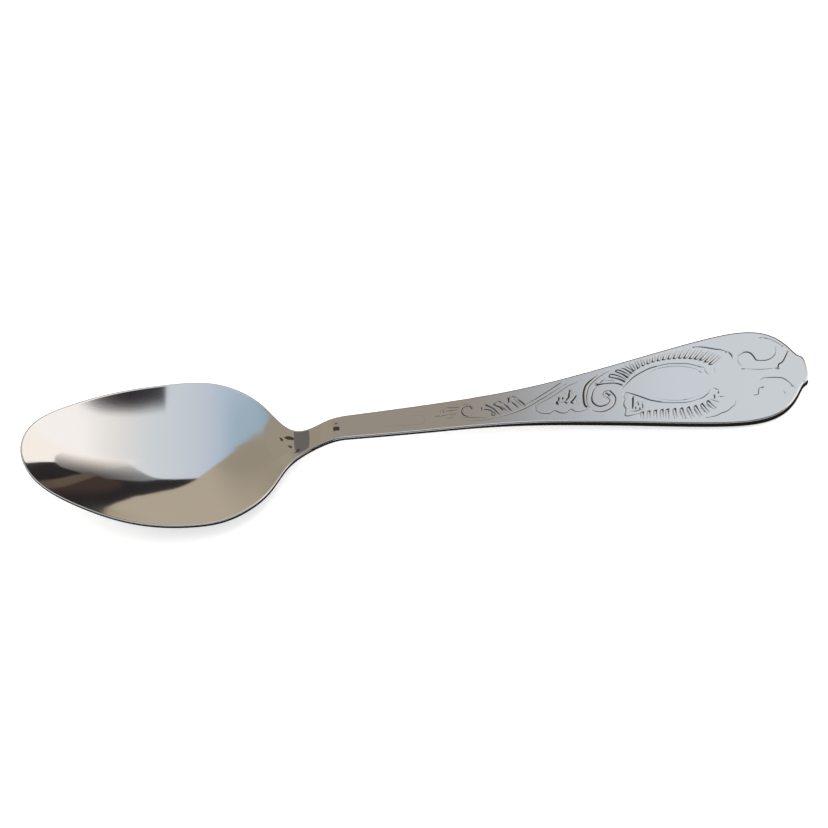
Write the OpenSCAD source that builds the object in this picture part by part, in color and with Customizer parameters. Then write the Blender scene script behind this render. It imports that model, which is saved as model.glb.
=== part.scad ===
// Small table spoon, stamped from one strip of stainless steel.
// It lies as it does on a table: +X from the bowl tip to the handle end, +Z up, hollow upwards.
// The origin is under the middle of its length, on the table. All sizes are in millimetres.

/* [Overall] */
// Overall length, bowl tip to handle end
length = 140; // [125:1:165]
// Rounding of the polished edges
edge_r = 0.35; // [0.2:0.05:0.45]

/* [Bowl] */
// Length from the tip to the neck
bowl_l = 47.5; // [42:0.5:54]
// Width at the widest place
bowl_w = 31.2; // [26:0.1:36]
// Depth of the hollow below the rim
bowl_depth = 4.8; // [4:0.1:6]
// Straightening of the hollow's sides towards the rim, 0 for a plain parabola
flank = 0.2; // [0:0.05:0.3]
// Tip to the deepest place
deep_x = 23; // [19:0.5:26]
// Wall at the deepest place
bowl_t = 1; // [0.8:0.05:1.4]
// Height of the edge at the tip
tip_t = 0.85; // [0.7:0.05:1.2]
// Depth of the worn flat under the bowl, on which it rests
rest_flat = 0.08; // [0.02:0.02:0.16]
// Rise of the rim from over the deepest place to the tip
tip_rise = 7.8; // [5:0.1:10]
// Fall of the rim from over the deepest place to the neck
neck_drop = 3.55; // [2.5:0.05:4.5]

/* [Neck] */
// Width at the narrowest place
neck_w = 4.7; // [4:0.05:6.5]
// Thickness at the narrowest place
neck_t = 1.7; // [1.5:0.05:2.6]
// Rounding of the underside along the neck and the shank
under_r = 1.3; // [0.4:0.1:1.6]
// Bowl to the narrowest place
neck_l = 5.5; // [4:0.5:8]
// Start of the crank, ahead of the end of the bowl
crank_back = 2.5; // [1:0.25:4]
// Length of the crank that lifts the handle off the rim line
crank_l = 13; // [10:0.5:16]

/* [Handle] */
// Width at the broadest place
end_w = 19.6; // [15:0.1:24]
// Thickness of the flat end
end_t = 1.5; // [1.1:0.05:1.8]
// Length of the flat end
flat_l = 36; // [26:1:44]
// Fall of the flat end towards the table, in degrees
fall = 2.7; // [2:0.1:4]
// Extra lift of the shank at the crank
arch = 0.75; // [0:0.05:1.5]
// Broadest place to the end
lobe_l = 11.6; // [10:0.1:14]
// Width of the small nose between the two lobes
nose_w = 6.2; // [5:0.1:7.5]

/* [Facets] */
// Sections along the bowl
bowl_rows = 54; // [36:2:56]
// Sections along the handle
handle_rows = 52; // [36:2:56]
// Strips across each face
strips = 20; // [12:2:22]
// Steps in the rounding of the upper edge; the lower one has twice as many
edge_steps = 2; // [1:1:2]

/* [Hidden] */

// Half outline of the bowl: share of its length, share of its half width
egg = [
    [0.063, 0.45], [0.19, 0.706], [0.36, 0.907], [0.6, 1],
    [0.716, 0.963], [0.821, 0.812], [0.905, 0.565], [0.968, 0.294]
];
// Half outline of the handle: share of the way to the broadest place, share of the flare
flare = [[0.28, 0.085], [0.465, 0.184], [0.637, 0.422], [0.81, 0.738], [0.93, 0.941], [1, 1]];
// Half outline of the lobes: share of their length left to the end, share of the half width
lobe = [[0.647, 0.944], [0.38, 0.763], [0.224, 0.541]];
// Half outline of the nose: share of the lobes' length left to the end, share of its half width
nose = [[0.12, 1.1], [0.043, 0.865]];

neck_x = bowl_l + neck_l;
broad_x = length - lobe_l;
flat_x = length - flat_l;
crank_x = bowl_l - crank_back;
shoulder_x = 0.8 * bowl_l;
rim_end_x = 0.98 * bowl_l;
waist_x = bowl_l + 0.64 * neck_l;
run_out_x = bowl_l + 1.18 * neck_l;
shank_x = mix(neck_x, flat_x, 1 / 3);

low_steps = 2 * edge_steps;
side_steps = edge_steps + low_steps;

// Ease from 0 to 1 with no kink at either end
function ease(u) = let (v = min(max(u, 0), 1)) v * v * v * (10 - 15 * v + 6 * v * v);

function mix(a, b, u) = a + (b - a) * u;

// Natural cubic spline through points p, with m = bends(p) as its second derivatives
function sweep(p, i = 1, c = 0, d = 0) =
    i == len(p) - 1 ? [] :
    let (
        h0 = p[i].x - p[i - 1].x,
        h1 = p[i + 1].x - p[i].x,
        kink = (p[i + 1].y - p[i].y) / h1 - (p[i].y - p[i - 1].y) / h0,
        q = 2 * (h0 + h1) - h0 * c,
        e = [h1 / q, (6 * kink - h0 * d) / q]
    )
    concat([e], sweep(p, i + 1, e[0], e[1]));

function unwind(e, i = 0) =
    i == len(e) ? [0] :
    let (rest = unwind(e, i + 1))
    concat([e[i][1] - e[i][0] * rest[0]], rest);

function bends(p) = concat([0], unwind(sweep(p)));

function span(p, x) = max([for (i = [0 : len(p) - 2]) if (i == 0 || x >= p[i].x) i]);

function spline(p, m, x) =
    let (
        i = span(p, x),
        h = p[i + 1].x - p[i].x,
        a = (p[i + 1].x - x) / h,
        b = 1 - a
    )
    a * p[i].y + b * p[i + 1].y
        + ((a * a * a - a) * m[i] + (b * b * b - b) * m[i + 1]) * h * h / 6;

function slope(p, m, x) =
    let (
        i = span(p, x),
        h = p[i + 1].x - p[i].x,
        a = (p[i + 1].x - x) / h,
        b = 1 - a
    )
    (p[i + 1].y - p[i].y) / h + ((1 - 3 * a * a) * m[i] + (3 * b * b - 1) * m[i + 1]) * h / 6;

// The outline is a spline over an angle, 0 at the tip and 180 at the end, so both ends come out round
function turn(x) = acos(min(max(1 - 2 * x / length, -1), 1));

outline = concat(
    [[0, 0]],
    [for (e = egg) [e[0] * bowl_l, e[1] * bowl_w / 2]],
    [[mix(bowl_l, neck_x, 0.22), 1.16 * neck_w / 2], [neck_x, neck_w / 2]],
    [for (f = flare) [mix(neck_x, broad_x, f[0]), mix(neck_w, end_w, f[1]) / 2]],
    [for (l = lobe) [length - l[0] * lobe_l, l[1] * end_w / 2]],
    [for (n = nose) [length - n[0] * lobe_l, n[1] * nose_w / 2]],
    [[length, 0]]
);
half_p = [for (o = outline) [turn(o.x), o.y]];
half_m = bends(half_p);

function half(x) = spline(half_p, half_m, turn(x));

// Outward direction of the outline at x, on the +Y side
function outward(x) =
    let (
        dx = length / 2 * sin(turn(x)) * PI / 180,
        dy = slope(half_p, half_m, turn(x))
    )
    [-dy, dx] / norm([dx, dy]);

// Rim line of the bowl, from 0 over the deepest place, and straight on past the neck
rim_p = [
    [0, tip_rise], [0.565 * deep_x, 0.355 * tip_rise], [deep_x, 0],
    [shoulder_x, -0.62 * neck_drop], [rim_end_x, -neck_drop]
];
rim_m = bends(rim_p);

function bowl_rim(x) =
    x < rim_end_x
        ? spline(rim_p, rim_m, x)
        : -neck_drop + (x - rim_end_x) * slope(rim_p, rim_m, rim_end_x);

// Depth of the hollow below the rim, running out smoothly into the neck
function sink(x) =
    bowl_depth * (
        x < deep_x
            ? 1 - pow(1 - max(x, 0) / deep_x, 2.4)
            : 1 - ease(pow(min((x - deep_x) / (run_out_x - deep_x), 1), 1.2))
    );

function thick(x) =
    mix(tip_t, bowl_t, ease(x / deep_x))
        + (neck_t - bowl_t) * ease((x - shoulder_x) / (waist_x - shoulder_x))
        + (end_t - neck_t) * ease((x - waist_x) / (flat_x - waist_x));

// Rounding of the lower edge, larger along the neck and the shank
function low_r(x, r) =
    let (
        neck = ease((x - shoulder_x) / (waist_x - shoulder_x)),
        shank = 1 - ease((x - shank_x) / (flat_x - shank_x))
    )
    min(mix(r, under_r, neck * shank), 0.97 * (thick(x) - r));

// The table touches the handle end and the flat under the lowest place of the bowl
lowest = min([for (i = [0 : 100]) let (x = i / 100 * bowl_l) bowl_rim(x) - sink(x) - thick(x)]);
table_z = rest_flat + lowest;

function handle_top(x) =
    table_z + end_t + (length - x) * tan(fall)
        + arch * pow(max((flat_x - x) / (flat_x - crank_x - crank_l), 0), 3);

// Height of the edge line over the table
function edge_z(x) = mix(bowl_rim(x), handle_top(x), ease((x - crank_x) / crank_l)) - table_z;

// Upper face: a parabola with straightened sides across the bowl, flat across the handle
function top_z(x, y) =
    let (s = min(abs(y) / max(half(x), 0.01), 1))
    edge_z(x) - sink(x) * (1 - s * s) * (1 - flank * s * s);

// One closed section: upper face, edge on +Y, lower face, edge on -Y
function section(x) =
    let (
        w = half(x),
        n = outward(x),
        t = thick(x),
        r = min(edge_r, 0.45 * t),
        q = low_r(x, r),
        a = 90 / edge_steps,
        b = 90 / low_steps,
        round_top = [for (k = [1 : edge_steps]) [r * (1 - sin(k * a)), r * (1 - cos(k * a))]],
        round_low = [for (k = [low_steps : -1 : 1]) [q * (1 - sin(k * b)), t - q * (1 - cos(k * b))]],
        edge = concat(round_top, round_low),
        rows = concat(
            [for (j = [0 : strips]) [r, 0, 2 * j / strips - 1]],
            [for (e = edge) [e[0], e[1], 1]],
            [for (j = [0 : strips]) [q, t, 1 - 2 * j / strips]],
            [for (k = [side_steps - 1 : -1 : 0]) [edge[k][0], edge[k][1], -1]]
        )
    )
    [
        for (p = rows)
            let (px = x - p[0] * n.x, py = p[2] * (w - p[0] * n.y))
            [px, py, max(top_z(px, py) - p[1], 0)]
    ];

// Sections crowd at the tip, the neck and the end, where the outline turns most
stations = concat(
    [for (i = [0 : bowl_rows]) bowl_l * (1 - cos(180 * i / bowl_rows)) / 2],
    [for (i = [1 : handle_rows]) mix(bowl_l, length, (1 - cos(180 * i / handle_rows)) / 2)]
);
around = 2 * (strips + 1 + side_steps);
last = len(stations) - 1;

// At the two ends the section folds to a line, so its two sides share their points
function fold(j) =
    j <= strips ? 0 :
    j <= strips + side_steps ? j :
    j <= 2 * strips + 1 + side_steps ? strips + 1 + side_steps :
    strips + around - j;

function corner(i, j) = let (k = j % around) i * around + (i == 0 || i == last ? fold(k) : k);

function distinct(f) = f[0] != f[1] && f[1] != f[2] && f[2] != f[0];

module spoon() {
    points = [for (x = stations) each section(x)];
    faces = [
        for (i = [0 : last - 1], j = [0 : around - 1])
            let (a = corner(i, j), b = corner(i, j + 1), c = corner(i + 1, j + 1), d = corner(i + 1, j))
            for (f = [[a, b, c], [a, c, d]])
                if (distinct(f)) f
    ];
    color("silver")
        translate([-length / 2, 0, 0])
            polyhedron(points = points, faces = faces, convexity = 6);
}

spoon();
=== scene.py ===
# %% [markdown]
# # A stamped steel spoon
#
# A small table spoon is one piece of stainless steel. A flat blank is cut from the sheet, a press
# bends the bowl, a die strikes the pattern into the handle, and a wheel polishes the whole. This
# lesson takes the same steps: draw the lines of the pattern, lay out the flat blank, press and
# strike it with Geometry Nodes, polish it with a material, then set it on a table and light it.
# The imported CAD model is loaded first, because it fixes the place and the size of everything.

# %% Load the frame
import math

import bpy
import numpy as np
from mathutils import Matrix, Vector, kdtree
from mathutils.geometry import delaunay_2d_cdt


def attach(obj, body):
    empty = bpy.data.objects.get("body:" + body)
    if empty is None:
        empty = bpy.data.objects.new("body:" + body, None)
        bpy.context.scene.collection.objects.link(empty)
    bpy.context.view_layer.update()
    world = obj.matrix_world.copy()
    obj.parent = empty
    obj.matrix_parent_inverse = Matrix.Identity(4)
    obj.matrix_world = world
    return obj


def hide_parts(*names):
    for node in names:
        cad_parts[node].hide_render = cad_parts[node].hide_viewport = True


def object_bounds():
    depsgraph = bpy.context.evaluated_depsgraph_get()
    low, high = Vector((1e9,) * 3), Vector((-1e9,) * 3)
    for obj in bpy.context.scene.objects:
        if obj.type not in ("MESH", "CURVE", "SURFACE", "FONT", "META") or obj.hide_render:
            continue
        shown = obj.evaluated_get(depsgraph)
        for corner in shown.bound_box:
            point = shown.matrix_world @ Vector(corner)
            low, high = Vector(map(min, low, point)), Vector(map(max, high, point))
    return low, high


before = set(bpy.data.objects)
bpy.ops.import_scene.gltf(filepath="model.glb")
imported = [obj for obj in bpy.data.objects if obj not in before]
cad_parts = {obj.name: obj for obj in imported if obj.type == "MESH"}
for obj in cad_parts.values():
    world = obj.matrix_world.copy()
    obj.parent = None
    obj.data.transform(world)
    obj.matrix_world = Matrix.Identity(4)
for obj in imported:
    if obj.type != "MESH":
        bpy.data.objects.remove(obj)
cad_low, cad_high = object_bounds()
MM = 0.001
print("CAD box in mm:", [round(side / MM, 2) for side in cad_high - cad_low])

# %% [markdown]
# ## Two small helpers
#
# Colours are easy to read as sRGB hex values, but Blender's sockets want linear light, so one
# function turns one into the other. Node trees are built in code: one function adds a node, sets
# its properties and fills its inputs, either with a value or with a link from another node.

# %% Helpers for colours and nodes
MATH = "ShaderNodeMath"


def linear(hex_colour):
    channels = [int(hex_colour[i : i + 2], 16) / 255 for i in (1, 3, 5)]
    return [c / 12.92 if c <= 0.04045 else ((c + 0.055) / 1.055) ** 2.4 for c in channels] + [1.0]


def add(tree, kind, inputs=None, **settings):
    made = tree.nodes.new(kind)
    for name, value in settings.items():
        setattr(made, name, value)
    for name, value in (inputs or {}).items():
        if isinstance(value, bpy.types.NodeSocket):
            tree.links.new(value, made.inputs[name])
        else:
            made.inputs[name].default_value = value
    return made


print("mid grey is", [round(c, 3) for c in linear("#808080")])

# %% [markdown]
# ## The rule of the spoon
#
# Seen from above, the spoon is a half outline mirrored on its long axis. Seen from the side, it is
# an edge line that falls from the tip to the neck and then cranks up into the handle. The hollow is
# a parabola across the bowl, with its sides straightened a little. The underside of neck and shank
# is rounded more than the other edges, and the bowl has a small worn flat where it rests. All of it
# could be pushed out of a subdivided box, but a mirror finish shows every dent. So it is written as
# smooth functions of x, the distance from the bowl's tip in millimetres. A natural cubic spline,
# which bends as a thin steel ruler does, joins the few sizes that are given. The spoon's length and
# the bowl's width come from the frame.

# %% Sizes of the spoon in millimetres
SPLINE_SWELL = 0.003  # how far the outline's spline swells past its widest points
LENGTH = (cad_high.x - cad_low.x) / MM
BOWL_W = (cad_high.y - cad_low.y) / MM - SPLINE_SWELL
BOWL_L = 47.5
BOWL_DEPTH = 4.8
FLANK = 0.2  # straightening of the hollow's sides, 0 for a plain parabola
DEEP_X = 23.0
BOWL_T = 1.0
TIP_T = 0.85
REST_FLAT = 0.08
TIP_RISE = 7.8  # of the rim, from over the deepest place to the tip
NECK_DROP = 3.55  # of the rim, from over the deepest place to the neck
NECK_W = 4.7
NECK_T = 1.7
UNDER_R = 1.3
NECK_L = 5.5
CRANK_BACK = 2.5  # from the end of the bowl back to the start of the crank
CRANK_L = 13.0
END_W = 19.6
END_T = 1.5
FLAT_L = 36.0
FALL = math.radians(2.7)  # of the flat end, towards the table
ARCH = 0.75  # extra lift of the shank at the crank
LOBE_L = 11.6
NOSE_W = 6.2
EDGE_R = 0.35

NECK_X = BOWL_L + NECK_L
BROAD_X = LENGTH - LOBE_L
FLAT_X = LENGTH - FLAT_L
CRANK_X = BOWL_L - CRANK_BACK
SHOULDER_X = 0.8 * BOWL_L
RIM_END_X = 0.98 * BOWL_L
WAIST_X = BOWL_L + 0.64 * NECK_L
RUN_OUT_X = BOWL_L + 1.18 * NECK_L
SHANK_X = NECK_X + (FLAT_X - NECK_X) / 3

# Half outlines as shares of lengths and half widths: bowl, its run into the neck, flare, lobes and nose
EGG = [
    (0.063, 0.45), (0.19, 0.706), (0.36, 0.907), (0.6, 1),
    (0.716, 0.963), (0.821, 0.812), (0.905, 0.565), (0.968, 0.294),
]
INTO_NECK = [(0.22, 1.16), (1, 1)]
FLARE = [(0.28, 0.085), (0.465, 0.184), (0.637, 0.422), (0.81, 0.738), (0.93, 0.941), (1, 1)]
LOBE = [(0.647, 0.944), (0.38, 0.763), (0.224, 0.541)]
NOSE = [(0.12, 1.1), (0.043, 0.865)]
# The rim between its ends: share of the way to the deepest place and of the rise, and share of the fall
RIM_SAG = (0.565, 0.355)
SHOULDER_FALL = 0.62
print("length of the spoon and width of its bowl:", round(LENGTH, 2), round(BOWL_W, 2))

# %% Splines of the outline and of the rim
def spline(points):
    """A natural cubic spline, as a function that gives its value and its slope."""
    x, y = np.array(points, float).T
    h = np.diff(x)
    rows = np.eye(len(x))
    kinks = np.zeros(len(x))
    for i in range(1, len(x) - 1):
        rows[i, i - 1 : i + 2] = h[i - 1], 2 * (h[i - 1] + h[i]), h[i]
        kinks[i] = 6 * ((y[i + 1] - y[i]) / h[i] - (y[i] - y[i - 1]) / h[i - 1])
    bend = np.linalg.solve(rows, kinks)

    def at(q):
        i = np.clip(np.searchsorted(x, q, side="right") - 1, 0, len(h) - 1)
        a = (x[i + 1] - q) / h[i]
        b = 1 - a
        sag = ((a**3 - a) * bend[i] + (b**3 - b) * bend[i + 1]) * h[i] ** 2 / 6
        lean = ((1 - 3 * a * a) * bend[i] + (3 * b * b - 1) * bend[i + 1]) * h[i] / 6
        return a * y[i] + b * y[i + 1] + sag, (y[i + 1] - y[i]) / h[i] + lean

    return at


def turn(x):
    """The outline is a spline over this angle, 0 at the tip and pi at the end, so both ends are round."""
    return np.arccos(np.clip(1 - 2 * np.asarray(x, float) / LENGTH, -1, 1))


half_points = (
    [(0, 0)]
    + [(u * BOWL_L, v * BOWL_W / 2) for u, v in EGG]
    + [(BOWL_L + u * NECK_L, v * NECK_W / 2) for u, v in INTO_NECK]
    + [(NECK_X + u * (BROAD_X - NECK_X), (NECK_W + v * (END_W - NECK_W)) / 2) for u, v in FLARE]
    + [(LENGTH - u * LOBE_L, v * END_W / 2) for u, v in LOBE]
    + [(LENGTH - u * LOBE_L, v * NOSE_W / 2) for u, v in NOSE]
    + [(LENGTH, 0)]
)
outline = spline([(turn(x), y) for x, y in half_points])
rim = spline(
    [
        (0, TIP_RISE),
        (RIM_SAG[0] * DEEP_X, RIM_SAG[1] * TIP_RISE),
        (DEEP_X, 0),
        (SHOULDER_X, -SHOULDER_FALL * NECK_DROP),
        (RIM_END_X, -NECK_DROP),
    ]
)


def half_width(x):
    return np.maximum(outline(turn(x))[0], 0)


print("half widths at deepest place, neck and lobes:", half_width([DEEP_X, NECK_X, BROAD_X]).round(2))

# %% Side view of the spoon
FRONT_POWER = 2.4
BACK_POWER = 1.2
# Most that an edge may be rounded: share of the thickness above, share of what that leaves below
TOP_SHARE = 0.45
LOW_SHARE = 0.97


def ease(u):
    """From 0 to 1 with no kink at either end."""
    v = np.clip(u, 0, 1)
    return v**3 * (10 - 15 * v + 6 * v * v)


def hollow(x):
    """Share of the bowl's depth at x: 0 at the tip, 1 at the deepest place and 0 in the neck."""
    front = 1 - np.clip(1 - x / DEEP_X, 0, 1) ** FRONT_POWER
    back = 1 - ease(np.clip((x - DEEP_X) / (RUN_OUT_X - DEEP_X), 0, 1) ** BACK_POWER)
    return np.where(x < DEEP_X, front, back)


def thick(x):
    thin = TIP_T + (BOWL_T - TIP_T) * ease(x / DEEP_X)
    neck = (NECK_T - BOWL_T) * ease((x - SHOULDER_X) / (WAIST_X - SHOULDER_X))
    return thin + neck + (END_T - NECK_T) * ease((x - WAIST_X) / (FLAT_X - WAIST_X))


def top_round(x):
    return np.minimum(EDGE_R, TOP_SHARE * thick(x))


def low_round(x):
    """Rounding of the lower edge, larger along the neck and the shank."""
    plain = top_round(x)
    neck = ease((x - SHOULDER_X) / (WAIST_X - SHOULDER_X))
    shank = 1 - ease((x - SHANK_X) / (FLAT_X - SHANK_X))
    wanted = plain + (UNDER_R - plain) * neck * shank
    return np.minimum(wanted, LOW_SHARE * (thick(x) - plain))


def bowl_rim(x):
    past = np.maximum(x - RIM_END_X, 0)
    value, slope = rim(np.minimum(x, RIM_END_X))
    return value + past * slope


BOWL_STEPS = 2000
steps = np.linspace(0, BOWL_L, BOWL_STEPS)
TABLE_Z = REST_FLAT + float(np.min(bowl_rim(steps) - BOWL_DEPTH * hollow(steps) - thick(steps)))


def edge_height(x):
    """Height of the spoon's edge over the table."""
    lift = ARCH * np.maximum((FLAT_X - x) / (FLAT_X - CRANK_X - CRANK_L), 0) ** 3
    handle = END_T + (LENGTH - x) * math.tan(FALL) + lift
    crank = ease((x - CRANK_X) / CRANK_L)
    return (bowl_rim(x) - TABLE_Z) * (1 - crank) + handle * crank


print("edge height at tip, neck and end:", edge_height(np.array([0, NECK_X, LENGTH])).round(2))

# %% [markdown]
# ## The pattern: a few hundred points, drawn by hand
#
# The handle carries a traditional rocaille: an oval medallion between two fans of flutes, a
# C-scroll, a scalloped shell, an S-shaped stem with a ribbed leaf, a ring, and two small volutes at
# the end. A picture of it on the metal would stay flat when the light moves, so it is modelled. The
# die leaves each line as a groove. So each is drawn as an engraver would draw it, as a few points
# in the plane of the blank, with a width and a depth. A Geometry Nodes tree later smooths the
# lines. The axis of the pattern is the spoon's own axis: x from the bowl's tip, y across.

# %% The engraver's lines
cuts = []
# Shares of a line's width: its groove with soft shoulders, and its depth where none is given
LINE_SPREAD = 1.3
LINE_DEPTH = 0.45
# Share of a line's length that each of its ends takes up
END_FADE = 0.3
PUNCH_REACH = 0.12


def cut(width, points, depth=None, ends=(0.55, 0.55)):
    """One groove: its width and depth in mm, and the shares of both that its two ends have."""
    p = np.array(points, float)
    if len(p) == 2:
        p = np.array([p[0], p.mean(0), p[1]])
    along = np.concatenate([[0], np.cumsum(np.linalg.norm(np.diff(p, axis=0), axis=1))])
    u = along / along[-1]
    share = np.interp(u, [0, END_FADE, 1 - END_FADE, 1], [ends[0], 1, 1, ends[1]])
    cuts.append((p, LINE_SPREAD * width / 2 * share, (depth or LINE_DEPTH * width) * share))


def punch(width, x, y, lean=0.0):
    """A short round-ended pit."""
    sideways = PUNCH_REACH * lean
    cut(width, [(x - sideways, y + PUNCH_REACH), (x + sideways, y - PUNCH_REACH)], ends=(1, 1))


# %% Medallion, and the wedge at its lower left
cut(0.26, [(107.05, 1.1), (108.3, 2.25), (109, 2.85), (110, 3.45), (112, 4.35),
           (113.5, 4.68)], ends=(0.6, 0.9))
cut(0.2, [(113.4, 4.66), (115.5, 4.9), (118, 4.6), (119.3, 4.3), (120.5, 3.75),
          (122, 3)], 0.07, (0.9, 0.5))
cut(0.26, [(107.7, -0.15), (109.5, -1.2), (111.2, -2.3), (112.2, -2.75),
           (113.4, -3.2)], ends=(0.6, 0.9))
cut(0.2, [(113.3, -3.18), (114.5, -3.5), (116, -3.75), (117.8, -3.95), (119.5, -3.7)], 0.07, (0.9, 0.7))
cut(0.22, [(119.4, -3.72), (120.6, -3.4), (121.3, -3), (121.9, -2.5), (122.1, -1.8)], 0.08)
cut(0.2, [(121.95, 2.9), (122.05, 2.2), (122.4, 1.5)], 0.05)
cut(0.2, [(110.9, 3.2), (112.6, 3.85), (114.6, 4.25), (116.9, 4.2), (119, 3.65), (120.5, 2.9),
          (121.5, 1.9)], 0.04, (0.3, 0.3))
cut(0.2, [(112.6, -2.2), (114.4, -2.9), (116.4, -3.3), (118.3, -3.25), (119.9, -2.75),
          (121, -2)], 0.035, (0.3, 0.3))
cut(0.2, [(123.6, 2.7), (123.7, 2.2), (123.5, 1.6)], 0.04)
cut(0.24, [(107.2, -0.3), (106.95, -0.9), (107.05, -1.5), (106.75, -2.2), (106.7, -2.9), (106.9, -3.6),
           (106.75, -4.3), (106.6, -5), (107.1, -5.2), (107.6, -5.15), (108.5, -5.05),
           (109.3, -4.95)], 0.08)
cut(0.4, [(108.42, -1.65), (108.37, -2.2), (108.2, -3.2), (108.1, -3.6)], 0.16, (1, 0.7))
cut(0.24, [(107.9, -4.3), (108.8, -4.35), (109.9, -4.1)], 0.08)
cut(0.26, [(109.95, -2.6), (109.95, -3.3), (109.9, -3.9)], 0.09, (0.4, 1))
punch(0.28, 109.35, -4.1)
punch(0.24, 108.65, -3.7)
punch(0.22, 109.25, -3)
print("lines with medallion and wedge:", len(cuts))

# %% Large tongues at the left of the upper fan, and the lines round the fans
cut(0.27, [(107.3, 2.45), (106.5, 3.05), (105.7, 3.4), (105, 3.7), (104.95, 4.05), (105.4, 4.25),
           (106.2, 3.9), (107, 3.4), (107.7, 2.75)], 0.11, (1.4, 0.6))
cut(0.27, [(108, 3.25), (107.5, 3.8), (106.8, 4.3), (106.25, 4.7), (106.35, 5), (106.9, 4.9),
           (107.6, 4.4), (108.2, 3.9), (108.55, 3.5)], 0.11, (1.4, 0.6))
cut(0.27, [(108.9, 3.95), (108.4, 4.5), (107.9, 5), (107.4, 5.25)], 0.11, (1.4, 0.5))
cut(0.2, [(109.3, 4), (109, 4.7), (108.4, 5.3), (108, 5.6)], 0.08)
cut(0.24, [(102.9, 2.4), (104, 2.4), (105.4, 2.3), (106.2, 2.05), (106.75, 1.75)], 0.1, (1.5, 1.4))
cut(0.3, [(103.1, 2.75), (103.8, 3.25)], 0.1)
cut(0.16, [(104.3, 3), (105.9, 2.85)], 0.05)
cut(0.24, [(120.5, 7.85), (121.5, 7.75), (122.5, 7.5), (124.5, 6.75), (125.3, 6.5), (126.5, 5.8)], 0.09)
cut(0.28, [(126.7, 5.75), (126.9, 5.4), (127.1, 5), (127.2, 4.45)], 0.1)
cut(0.22, [(120.6, -7.8), (122.4, -7.65), (123.4, -7.25), (124.5, -6.95), (125.4, -6.3), (126.1, -5.8),
           (126.3, -5)], 0.08)
cut(0.18, [(122.1, -4), (122.7, -4.4), (123.4, -4.8)], 0.06)
cut(0.24, [(123.6, -3.6), (124.4, -3.8)], 0.05)
cut(0.24, [(122.9, -1.6), (123.8, -2.2)], 0.05)
punch(0.3, 122.8, -3.5)
punch(0.24, 123.6, -2.75)
print("lines with tongues and fan lines:", len(cuts))

# %% C-scroll with its volute
cut(0.42, [(102.75, 4.35), (101.65, 3.6), (100.95, 3), (100.45, 2.4), (100.1, 1.6), (99.87, 0.7),
           (99.78, -0.2), (99.75, -1), (99.85, -1.7), (100.1, -2.1)], 0.18, (0.4, 0.9))
cut(0.25, [(104.95, 5), (103.45, 4.25), (102.65, 3.65), (101.85, 3), (101.25, 2.4), (100.85, 1.7),
           (100.55, 0.9), (100.35, 0), (100.3, -1), (100.4, -1.8), (100.55, -2.3)], 0.09)
cut(0.32, [(102.25, 1.8), (101.75, 1.2), (101.45, 0.5), (101.25, -0.3), (101.25, -1), (101.5, -1.6),
           (101.95, -2.1), (102.55, -2.35), (103.25, -2.3), (103.85, -2.05), (104.25, -1.6),
           (104.35, -1.1), (104.05, -0.75)], 0.13)
cut(0.28, [(101.05, -3.05), (101.85, -3.4), (102.65, -3.55), (103.45, -3.45), (104.15, -3.15),
           (104.75, -2.7), (105.15, -2.1), (105.4, -1.3), (105.4, -0.7), (105.15, -0.1), (104.85, 0.4),
           (104.6, 0.75)], 0.11, (0.5, 1))
cut(0.24, [(103.4, -0.35), (103.35, 0.25), (103.6, 0.7), (104.15, 0.8), (104.6, 0.7)], 0.07)
punch(0.3, 104.2, 0.02, 1)
print("lines with C-scroll:", len(cuts))

# %% Scalloped shell and its punches
cut(0.24, [(91.1, -0.4), (91.15, -0.9), (91.2, -1.5), (91.7, -1.95), (92.3, -2.3), (93.5, -2.4),
           (93.9, -2.15), (94.4, -2), (94.8, -2.2), (95.2, -2.55), (95.9, -2.75), (96.5, -2.7),
           (97, -2.25), (97.4, -2.15), (97.7, -2.5), (98.1, -2.8), (99.3, -2.85), (100.2, -2.5)], 0.08)
cut(0.22, [(91.2, -0.35), (92, 0.05), (93, 0.45), (94, 0.95), (95, 1.5), (96, 2.1), (97, 2.7),
           (97.6, 3.05), (98.3, 3.25), (99.4, 3.9)], 0.08)
cut(0.42, [(97.45, 1.55), (97.3, 1), (97.2, 0.5), (96.95, 0.2), (96.65, -0.1)], 0.17, (0.8, 0.7))
cut(0.16, [(97.8, 1.5), (97.8, 0.9), (97.5, 0.3)], 0.05)
cut(0.4, [(98.5, 0.55), (98.2, 0.1), (97.8, -0.35), (97.5, -0.6), (97.8, -0.95)], 0.16, (0.9, 0.7))
cut(0.16, [(98.6, -0.1), (98.45, -0.8)], 0.05)
cut(0.32, [(96.3, -0.35), (96.6, -0.6)], 0.12, (1, 1))
cut(0.16, [(95.4, -0.35), (96.3, -0.35)], 0.05)
punch(0.46, 95, -0.27)
punch(0.34, 95.4, 0.25)
punch(0.34, 96.13, 0.42)
print("lines with shell:", len(cuts))

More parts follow.
